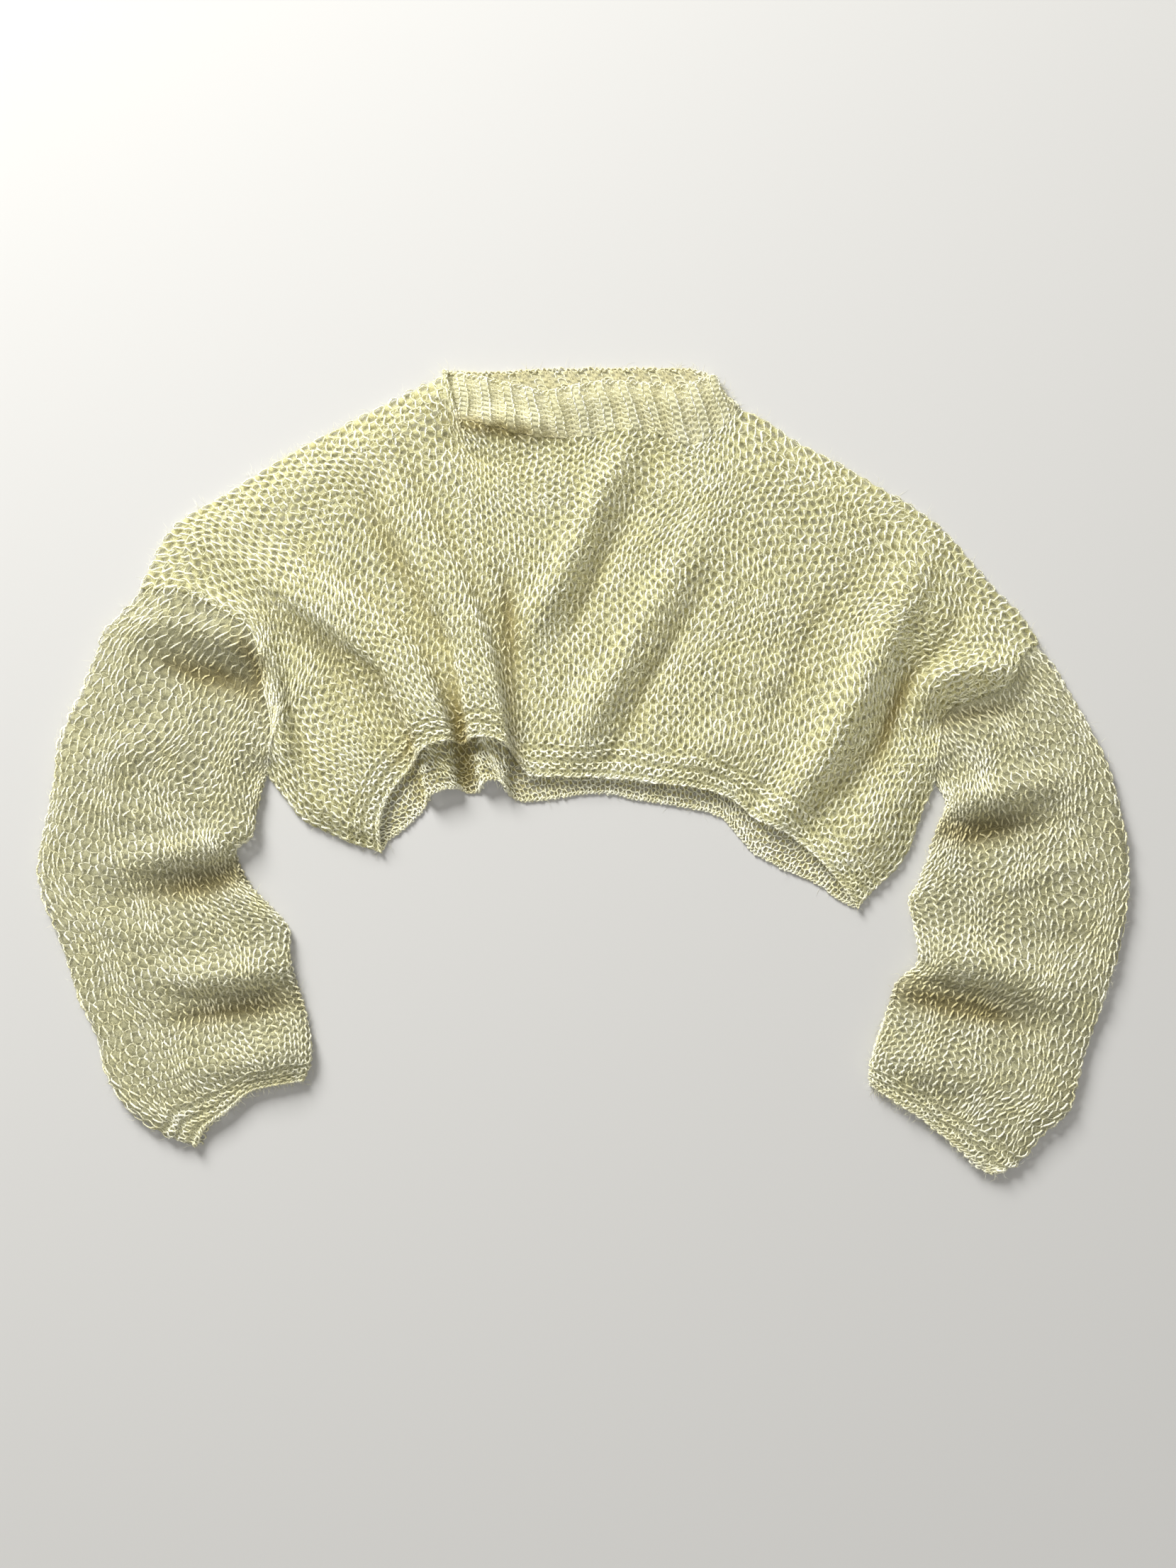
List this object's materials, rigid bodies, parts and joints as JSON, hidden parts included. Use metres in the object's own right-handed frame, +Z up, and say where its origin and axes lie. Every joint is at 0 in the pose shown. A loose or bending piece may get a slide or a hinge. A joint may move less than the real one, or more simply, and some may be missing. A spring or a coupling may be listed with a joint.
{
  "type": "cropped sweater",
  "caption": "Cropped, loosely knitted sweater laid flat, sleeves bent down beside a short body with a folded hem, and a ribbed neckband.",
  "frame": {"origin": "middle of the laid sweater's box, on the surface that it lies on", "axes": "+X from the picture's left sleeve to its right sleeve, +Y from the hem to the neck, +Z up from the surface"},
  "size_m": [0.8488, 0.6245, 0.0271],
  "materials": {
    "front_knit": "brushed mohair and silk, knit side out",
    "back_knit": "brushed mohair and silk, seen from its inner side at the hem",
    "sleeve_left_knit": "brushed mohair and silk, knit side out",
    "sleeve_right_knit": "brushed mohair and silk, knit side out",
    "neckband_knit": "brushed mohair and silk in 1x1 rib"
  },
  "bodies": {
    "root": {"front": "front_knit", "back": "back_knit", "sleeve_left": "sleeve_left_knit", "sleeve_right": "sleeve_right_knit", "neckband": "neckband_knit"}
  },
  "joints": []
}
